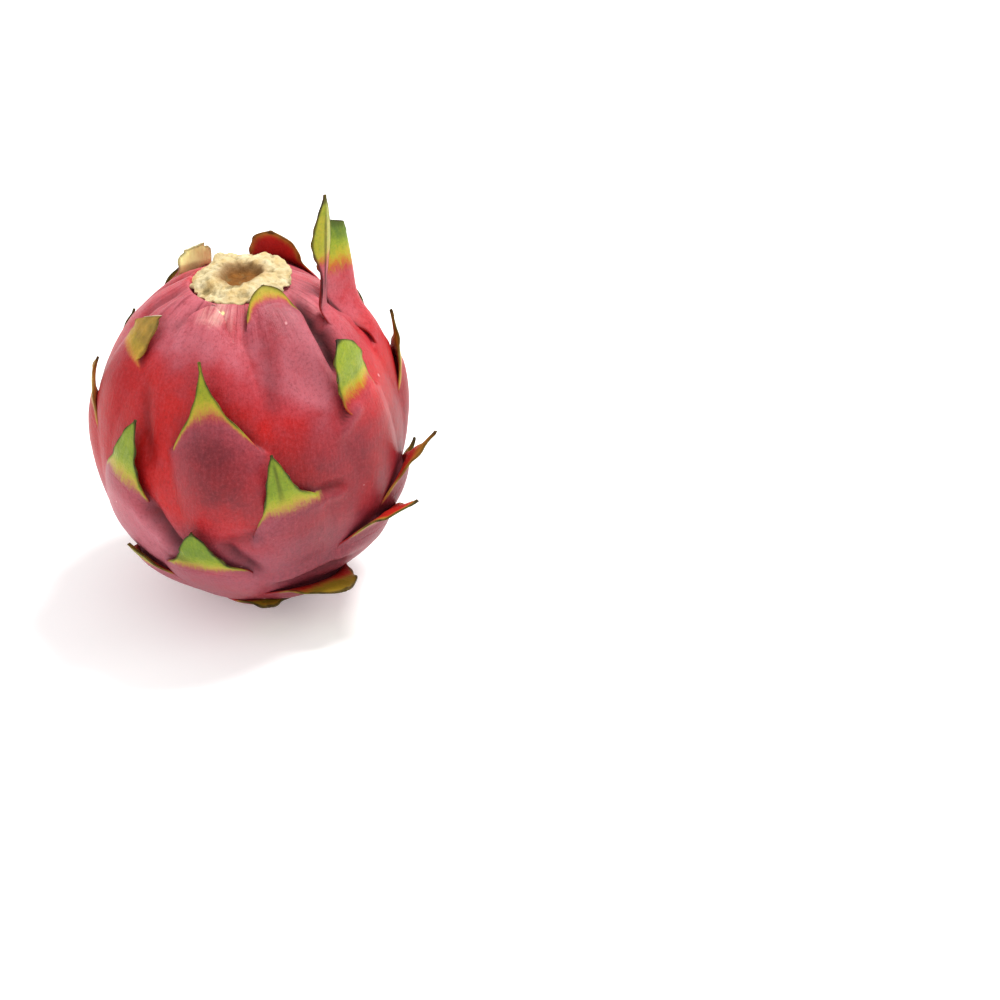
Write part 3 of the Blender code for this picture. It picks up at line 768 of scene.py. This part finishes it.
class Nodes:
    """Short calls to build one material's node tree."""

    def __init__(self, name):
        self.material = bpy.data.materials.new(name)
        self.material.use_nodes = True
        self.tree = self.material.node_tree
        self.shader = self.tree.nodes["Principled BSDF"]

    def add(self, kind, **settings):
        node = self.tree.nodes.new(kind)
        for key, value in settings.items():
            setattr(node, key, value)
        return node

    def link(self, source, target):
        if isinstance(source, (int, float)):
            target.default_value = source
        elif isinstance(source, tuple):
            target.default_value = source if len(source) == 4 else (*source, 1.0)
        else:
            self.tree.links.new(source, target)

    def mask(self, name):
        return self.add("ShaderNodeAttribute", attribute_name=name).outputs["Fac"]

    def noise(self, size_mm, detail=3.0, roughness=0.55, flow=None):
        """Noise from 0 to 1. With a flow, it follows the streaks' vector, whose axes are scaled by it."""
        node = self.add("ShaderNodeTexNoise")
        if flow:
            mapping = self.add("ShaderNodeMapping")
            mapping.inputs["Scale"].default_value = flow
            vector = self.add("ShaderNodeAttribute", attribute_name="flow").outputs["Vector"]
            self.link(vector, mapping.inputs["Vector"])
            self.link(mapping.outputs["Vector"], node.inputs["Vector"])
            node.inputs["Scale"].default_value = 1.0 / size_mm
        else:
            self.link(self.add("ShaderNodeTexCoord").outputs["Object"], node.inputs["Vector"])
            node.inputs["Scale"].default_value = 1.0 / (size_mm * MM)
        node.inputs["Detail"].default_value = detail
        node.inputs["Roughness"].default_value = roughness
        return node.outputs["Fac"]

    def math(self, operation, first, second=0.0, third=0.0, clamp=False):
        node = self.add("ShaderNodeMath", operation=operation, use_clamp=clamp)
        for value, socket in zip((first, second, third), node.inputs):
            self.link(value, socket)
        return node.outputs[0]

    def ramp(self, value, stops):
        node = self.add("ShaderNodeValToRGB")
        band = node.color_ramp
        while len(band.elements) < len(stops):
            band.elements.new(0.5)
        for element, (place, colour) in zip(band.elements, stops):
            element.position = place
            element.color = (*colour, 1.0)
        self.link(value, node.inputs["Fac"])
        return node.outputs["Color"]

    def spread(self, value, low, high, to_low=0.0, to_high=1.0):
        node = self.add("ShaderNodeMapRange")
        for key, number in (("From Min", low), ("From Max", high), ("To Min", to_low), ("To Max", to_high)):
            node.inputs[key].default_value = number
        self.link(value, node.inputs["Value"])
        return node.outputs["Result"]

    def mix(self, share, first, second, blend="MIX"):
        node = self.add("ShaderNodeMix", data_type="RGBA", blend_type=blend)
        self.link(share, node.inputs[0])
        self.link(first, node.inputs[6])
        self.link(second, node.inputs[7])
        return node.outputs[2]

    def bump(self, height, distance_mm, strength=1.0):
        node = self.add("ShaderNodeBump")
        node.inputs["Distance"].default_value = distance_mm * MM
        node.inputs["Strength"].default_value = strength
        self.link(height, node.inputs["Height"])
        return node.outputs["Normal"]


def rgb(red, green, blue):
    """A colour named as on screen, 0 to 255, turned to the linear values that materials take."""
    parts = []
    for part in (red, green, blue):
        part /= 255.0
        parts.append(part / 12.92 if part <= 0.04045 else ((part + 0.055) / 1.055) ** 2.4)
    return tuple(parts)


def peel_material():
    """Waxy red skin that runs through orange and yellow to green scales with dark points."""
    made = Nodes("peel")
    broad = made.noise(26.0, 3.0)
    middle = made.noise(5.0, 4.0)
    fine = made.noise(0.9, 4.0, 0.75)
    streak = made.noise(0.8, 3.0, 0.6, flow=(1.0, 1.0, 0.14))
    red = made.ramp(broad, ((0.35, rgb(186, 12, 6)), (0.5, rgb(173, 8, 7)), (0.65, rgb(163, 9, 15))))
    mottled = made.mix(made.spread(middle, 0.4, 0.75, 0.0, 0.4), red, rgb(160, 30, 34))
    # The pale mask holds the skin's paler parts together with painted sheen and painted light
    pale_and_sheen = made.math("ADD", made.mask("pale_and_sheen"), made.spread(middle, 0.3, 0.7, -0.14, 0.14), clamp=True)
    pinker = made.mix(made.math("MULTIPLY", pale_and_sheen, 0.8), mottled, rgb(168, 68, 80))
    mauve = made.math("MULTIPLY", made.mask("mauve"), made.spread(middle, 0.3, 0.7, 0.75, 1.0))
    pinker = made.mix(made.math("MULTIPLY", mauve, 0.9), pinker, rgb(148, 80, 94))
    # Painted sheen: the palest skin turns a light highlight pink
    pinker = made.mix(made.spread(pale_and_sheen, 0.55, 1.0, 0.0, 0.42), pinker, rgb(206, 122, 134))
    # Maroon under the shields, and painted shade over the right side
    maroon_and_shade = made.math("MULTIPLY", made.mask("maroon_and_shade"), made.spread(middle, 0.3, 0.7, 0.65, 0.9))
    belly = made.mix(maroon_and_shade, pinker, rgb(84, 8, 20))
    darker = made.spread(fine, 0.5, 0.3, 0.0, 0.4)
    lighter = made.spread(fine, 0.5, 0.72, 0.0, 0.2)
    skin = made.mix(darker, belly, rgb(92, 4, 12))
    skin = made.mix(lighter, skin, rgb(196, 92, 98))
    skin = made.mix(made.spread(streak, 0.52, 0.75, 0.0, 0.16), skin, rgb(188, 72, 82))
    specks = made.spread(made.noise(2.6, 0.0), 0.86, 0.88, 0.0, 0.5)
    skin = made.mix(specks, skin, rgb(226, 170, 170))
    rays = made.noise(2.6, 3.0, 0.65, flow=(1.0, 1.0, 0.1))
    fringe = made.mask("fringe")
    dark_rays = made.math("MULTIPLY", fringe, made.spread(rays, 0.48, 0.3, 0.0, 0.6))
    skin = made.mix(dark_rays, skin, rgb(104, 20, 34))
    pale_rays = made.math("MULTIPLY", fringe, made.spread(rays, 0.54, 0.7, 0.0, 0.35))
    skin = made.mix(pale_rays, skin, rgb(200, 116, 126))

    # Where the tips turn green, with an uneven edge
    streaky = made.spread(streak, 0.3, 0.7, -0.035, 0.035)
    wander = made.math("ADD", made.spread(middle, 0.2, 0.8, -0.12, 0.12), streaky)
    wander = made.math("ADD", wander, made.spread(fine, 0.3, 0.7, -0.08, 0.08))
    green = made.math("ADD", made.mask("green"), wander, clamp=True)
    green = made.math("MULTIPLY", green, made.spread(made.mask("green"), 0.0, 0.2))
    leaf = made.ramp(green, (
        (0.0, rgb(158, 22, 18)), (0.16, rgb(166, 46, 18)), (0.34, rgb(174, 100, 8)),
        (0.52, rgb(168, 150, 8)), (0.75, rgb(128, 144, 12)), (1.0, rgb(80, 108, 12)),
    ))
    cool = made.ramp(green, (
        (0.0, rgb(150, 62, 76)), (0.2, rgb(156, 100, 70)), (0.42, rgb(168, 152, 54)),
        (0.65, rgb(132, 146, 30)), (1.0, rgb(96, 122, 20)),
    ))
    leaf = made.mix(made.mask("warm"), cool, leaf)
    leaf = made.mix(made.spread(streak, 0.48, 0.72, 0.0, 0.4), leaf, rgb(156, 160, 18))
    leaf = made.mix(made.spread(fine, 0.52, 0.75, 0.0, 0.35), leaf, rgb(76, 84, 20))
    tan = made.mix(made.spread(middle, 0.3, 0.7), rgb(212, 146, 66), rgb(138, 88, 36))
    leaf = made.mix(made.mask("dry"), leaf, tan)
    colour = made.mix(made.spread(green, 0.02, 0.3), skin, leaf)
    inner = made.math("MULTIPLY", made.mask("inner"), made.spread(green, 0.15, 0.6, 0.9, 0.25))
    colour = made.mix(inner, colour, made.mix(middle, rgb(208, 38, 22), rgb(160, 24, 16)))

    # Cream shreds, painted shade in the axils and creases, dark points and margins, and bleached cuts
    shreds = made.spread(streak, 0.35, 0.6, 0.4, 1.0)
    frayed = made.math("MULTIPLY", made.spread(rays, 0.38, 0.56, 0.15, 1.0), shreds)
    cream = made.math("MULTIPLY", made.mask("cream"), frayed)
    whole = made.spread(made.mask("cream"), 0.85, 0.98)
    stained = made.math("MULTIPLY", whole, made.spread(middle, 0.35, 0.5, 0.85, 1.0))
    cream = made.math("MAXIMUM", cream, stained)
    colour = made.mix(cream, colour, made.mix(whole, rgb(216, 172, 160), rgb(250, 238, 164)))
    # Dark margins, points and veins, and painted shade in the axils, creases and inner roots
    crease = made.math("MULTIPLY", made.mask("dark_marks_and_shade"), made.spread(middle, 0.3, 0.7, 0.75, 1.0))
    shade = made.mix(made.spread(green, 0.1, 0.5), rgb(44, 5, 10), rgb(34, 20, 6))
    colour = made.mix(crease, colour, shade)
    colour = made.mix(made.mask("tip"), colour, rgb(226, 214, 190))
    made.link(colour, made.shader.inputs["Base Color"])

    rough = made.spread(fine, 0.3, 0.7, 0.38, 0.52)
    withered = made.math("MULTIPLY", made.mask("dry"), made.math("MULTIPLY", green, 0.3))
    dull = made.math("ADD", withered, made.math("MULTIPLY", made.mask("dark_marks_and_shade"), 0.3))
    made.link(made.math("ADD", rough, dull), made.shader.inputs["Roughness"])
    made.shader.inputs["Subsurface Weight"].default_value = 0.06
    made.shader.inputs["Subsurface Radius"].default_value = (1.0, 0.3, 0.2)
    made.shader.inputs["Subsurface Scale"].default_value = 0.002
    made.shader.inputs["Specular IOR Level"].default_value = 0.24
    grain = made.math("ADD", made.math("MULTIPLY", fine, 0.7), made.math("MULTIPLY", streak, 0.8))
    made.link(made.bump(grain, 0.3, 0.6), made.shader.inputs["Normal"])
    return made.material


def cork_material():
    """Dry cream cork, orange-brown down in the pit, with grey-green painted shade in its low hollows and
    cracks and under its rim.
    """
    made = Nodes("cork")
    middle = made.noise(3.2, 5.0, 0.65)
    fine = made.noise(0.7, 4.0, 0.7)
    tint = made.noise(6.0, 3.0)
    cream = made.ramp(middle, (
        (0.3, rgb(172, 150, 104)), (0.5, rgb(196, 180, 138)), (0.7, rgb(208, 196, 162)),
    ))
    cream = made.mix(made.spread(tint, 0.48, 0.66, 0.0, 0.5), cream, rgb(196, 158, 86))
    specked = made.mix(made.spread(fine, 0.54, 0.74, 0.0, 0.5), cream, rgb(158, 128, 78))
    pit = made.mix(made.mask("pit"), specked, made.mix(middle, rgb(70, 38, 10), rgb(150, 96, 32)))
    # Painted shade in the hollows and under the rim
    hollow_shaded = made.mix(made.mask("hollow_shade"), pit, rgb(116, 100, 62))
    made.link(hollow_shaded, made.shader.inputs["Base Color"])
    made.link(made.spread(fine, 0.3, 0.7, 0.75, 0.95), made.shader.inputs["Roughness"])
    made.shader.inputs["Specular IOR Level"].default_value = 0.25
    grain = made.math("ADD", fine, made.math("MULTIPLY", middle, 1.5))
    made.link(made.bump(grain, 0.35, 0.7), made.shader.inputs["Normal"])
    return made.material


def make_scar(material):
    """The corky collar where the flower dried off: a lobed, torn crust round a blind pit."""
    around = np.linspace(0.0, 2.0 * math.pi, SCAR_STEPS, endpoint=False)
    flat = np.stack((np.sin(around), -np.cos(around), np.zeros(SCAR_STEPS)), axis=1)
    lobes = np.cos(9.0 * around + 0.4) + 0.8 * np.cos(5.0 * around + 1.0)
    lobes += 0.5 * np.cos(14.0 * around + 2.2)
    rag = layered_noise(flat * 14.0, 6.5, 31, 5)
    frayed = layered_noise(flat * 14.0, 1.6, 33, 2)
    rim = SCAR_RADIUS - 0.1 + 0.1 * lobes + 1.35 * rag + 0.6 * frayed
    pit_rim = PIT_RADIUS + 0.8 * value_noise(flat * 9.0, 5.0, 37) + 0.2 * np.cos(3.0 * around + 0.7)
    crest = CREST_HEIGHT + 0.5 * value_noise(flat * 10.0, 7.0, 41)
    at_the_back = smooth((-np.cos(around) - 0.1) / 0.8)
    flap = FLAP_HEIGHT * at_the_back * (0.7 + 0.5 * value_noise(flat * 12.0, 5.0, 61))
    rings = []
    pits = []
    hollow_shades = []
    for step in range(SCAR_RINGS):
        share = step / (SCAR_RINGS - 1.0)
        on_top = share < SCAR_TOP_SHARE
        if on_top:
            radius = rim * (share / SCAR_TOP_SHARE) ** 0.9
            slope = crest + (flap - 1.9) * smooth((radius - 8.0) / (rim - 8.0))
            walls = PIT_FLOOR + (crest - PIT_FLOOR) * smooth(1.0 - (pit_rim - radius) / PIT_WALL)
            height = np.where(radius > pit_rim, slope, walls)
        else:
            under = (share - SCAR_TOP_SHARE) / (1.0 - SCAR_TOP_SHARE)
            radius = rim * (1.0 - 0.12 * smooth(under)) if under < 1.0 else np.zeros(SCAR_STEPS)
            height = (1.4 + flap) * (1.0 - under**0.7)
        place = np.stack((radius * np.sin(around), -radius * np.cos(around), height), axis=1)
        crumb = layered_noise(place, 1.7, 43, 4)
        spokes = np.stack((around * 7.0, radius * 0.3, 0.0 * around), axis=1)
        seam = smooth(np.minimum(around, 2.0 * math.pi - around) / 0.15)
        fibre = layered_noise(spokes, 1.0, 47, 3) * seam
        top = smooth(share / 0.1) * smooth((1.0 - share) / 0.2)
        folds = 0.9 * layered_noise(place, 5.0, 59, 3)
        place[:, 2] += (0.15 * crumb + folds + 0.3 * fibre * smooth((radius - 4.0) / 4.0)) * top
        flake = 0.9 * value_noise(flat * 13.0, 4.5, 53) * smooth((share - 0.66) / 0.12) * top
        place[:, 2] += flake
        place[:, 2] = np.maximum(place[:, 2], 0.0 if share > SCAR_TOP_SHARE else LEAST_HEIGHT)
        rings.append(place)
        pits.append(smooth((pit_rim + PIT_WALL - radius) / 5.4) if on_top else np.zeros(SCAR_STEPS))
        # Painted shade where the crust dips lowest, and on the underside of the rim
        hollows = 0.45 * smooth((-crumb - 0.4) / 0.5) + 0.7 * smooth((-folds - 0.45) / 0.35)
        hollow_shades.append(np.clip(hollows + 0.6 * smooth((share - 0.84) / 0.08), 0.0, 1.0))
    points = np.concatenate(rings)
    tilt = math.radians(-SCAR_TILT)
    turned = points.copy()
    turned[:, 0] = points[:, 0] * math.cos(tilt) + points[:, 2] * math.sin(tilt)
    turned[:, 2] = -points[:, 0] * math.sin(tilt) + points[:, 2] * math.cos(tilt) + SEAT_HEIGHT + SCAR_GAP
    faces = []
    for ring in range(SCAR_RINGS - 1):
        for step in range(SCAR_STEPS):
            following = (step + 1) % SCAR_STEPS
            faces.append((
                ring * SCAR_STEPS + step, (ring + 1) * SCAR_STEPS + step,
                (ring + 1) * SCAR_STEPS + following, ring * SCAR_STEPS + following,
            ))
    mesh = bpy.data.meshes.new("flower_scar_cork")
    mesh.from_pydata(turned * MM, [], faces)
    add_marks(mesh, {"pit": np.concatenate(pits), "hollow_shade": np.concatenate(hollow_shades)}, points)
    bm = bmesh.new()
    bm.from_mesh(mesh)
    bmesh.ops.remove_doubles(bm, verts=bm.verts, dist=0.00001)
    bmesh.ops.recalc_face_normals(bm, faces=bm.faces)
    bm.to_mesh(mesh)
    bm.free()
    scar = new_object("flower_scar_cork", mesh)
    finish_piece(scar, material, "flower_scar")


def floor_material():
    """Plain white, with a faint glow that keeps the backdrop as light as in the photograph."""
    made = Nodes("floor")
    tone = made.ramp(made.noise(60.0, 2.0), ((0.3, (0.86, 0.86, 0.86)), (0.7, (0.9, 0.9, 0.9))))
    made.link(tone, made.shader.inputs["Base Color"])
    made.shader.inputs["Roughness"].default_value = 0.9
    made.shader.inputs["Specular IOR Level"].default_value = 0.1
    made.shader.inputs["Emission Color"].default_value = (1.0, 1.0, 1.0, 1.0)
    made.shader.inputs["Emission Strength"].default_value = FLOOR_GLOW
    return made.material


def make_floor():
    mesh = bpy.data.meshes.new("floor")
    bm = bmesh.new()
    bmesh.ops.create_grid(bm, x_segments=1, y_segments=1, size=FLOOR_SIZE)
    bm.to_mesh(mesh)
    bm.free()
    floor = bpy.data.objects.new("floor", mesh)
    bpy.context.scene.collection.objects.link(floor)
    floor.data.materials.append(floor_material())


def area_light(name, location, size, power, colour):
    """A round lamp, turned towards the fruit."""
    light = bpy.data.lights.new(name, "AREA")
    light.shape = "DISK"
    light.size = size
    light.energy = power
    light.color = colour
    made = bpy.data.objects.new(name, light)
    made.location = location
    direction = Vector(LIGHT_TARGET) - Vector(location)
    made.rotation_euler = direction.to_track_quat("-Z", "Y").to_euler()
    bpy.context.scene.collection.objects.link(made)


def make_light():
    for name, location, size, power, colour in LIGHTS:
        area_light(name, location, size, power, colour)
    world = bpy.data.worlds.new("studio")
    world.use_nodes = True
    sky = world.node_tree.nodes["Background"]
    sky.inputs["Color"].default_value = (1.0, 1.0, 1.0, 1.0)
    sky.inputs["Strength"].default_value = SKY_STRENGTH
    bpy.context.scene.world = world
    bpy.context.scene.view_settings.view_transform = "Standard"


def make_camera():
    camera = bpy.data.cameras.new("camera")
    camera.lens = LENS
    camera.sensor_width = SENSOR
    camera.clip_start = 0.01
    made = bpy.data.objects.new("camera", camera)
    made.location = CAMERA_PLACE
    made.rotation_euler = (math.radians(90.0 - CAMERA_PITCH), 0.0, math.radians(CAMERA_YAW))
    bpy.context.scene.collection.objects.link(made)
    bpy.context.scene.camera = made


make_camera()
make_light()
make_floor()
peel = peel_material()
make_skin(peel)
for number, scale in enumerate(SCALES):
    make_blade(number, scale, peel)
make_scar(cork_material())
